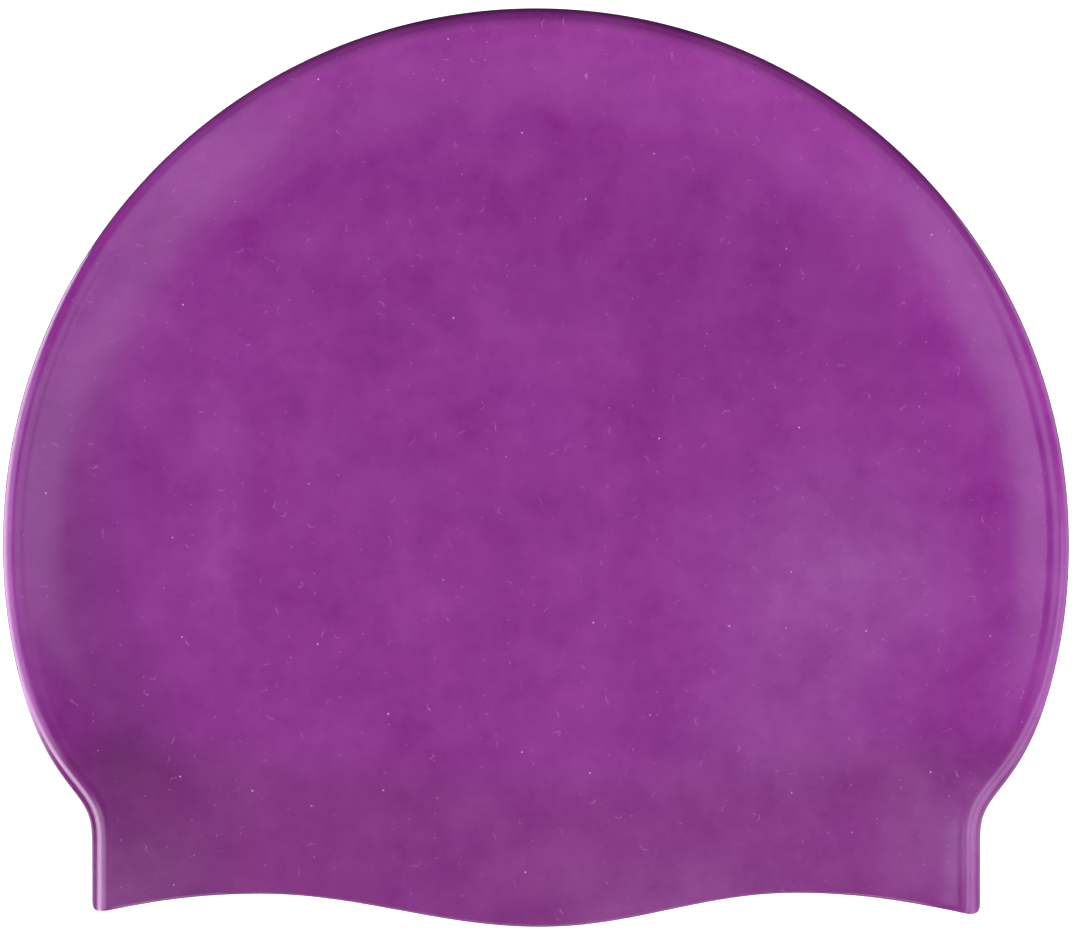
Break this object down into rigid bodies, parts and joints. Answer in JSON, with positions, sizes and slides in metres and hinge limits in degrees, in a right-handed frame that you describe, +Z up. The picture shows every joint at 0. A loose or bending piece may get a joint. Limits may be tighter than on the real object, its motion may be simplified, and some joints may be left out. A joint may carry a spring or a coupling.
{
  "type": "swim cap",
  "caption": "Moulded silicone swim cap lying flat: two thin panels joined by a thick rounded edge bead with a rib, open at a wavy hem that dips over the ear.",
  "frame": {"origin": "centre of the cap's bounding box, on the table that it lies on", "axes": "+Z up from the table, +Y from the mouth to the crown, +X across the cap from its left edge to its right edge as seen from above"},
  "size_m": [0.22, 0.1888, 0.0168],
  "materials": {
    "silicone": "satin purple silicone rubber"
  },
  "bodies": {
    "root": {"cap": "silicone"}
  },
  "joints": []
}
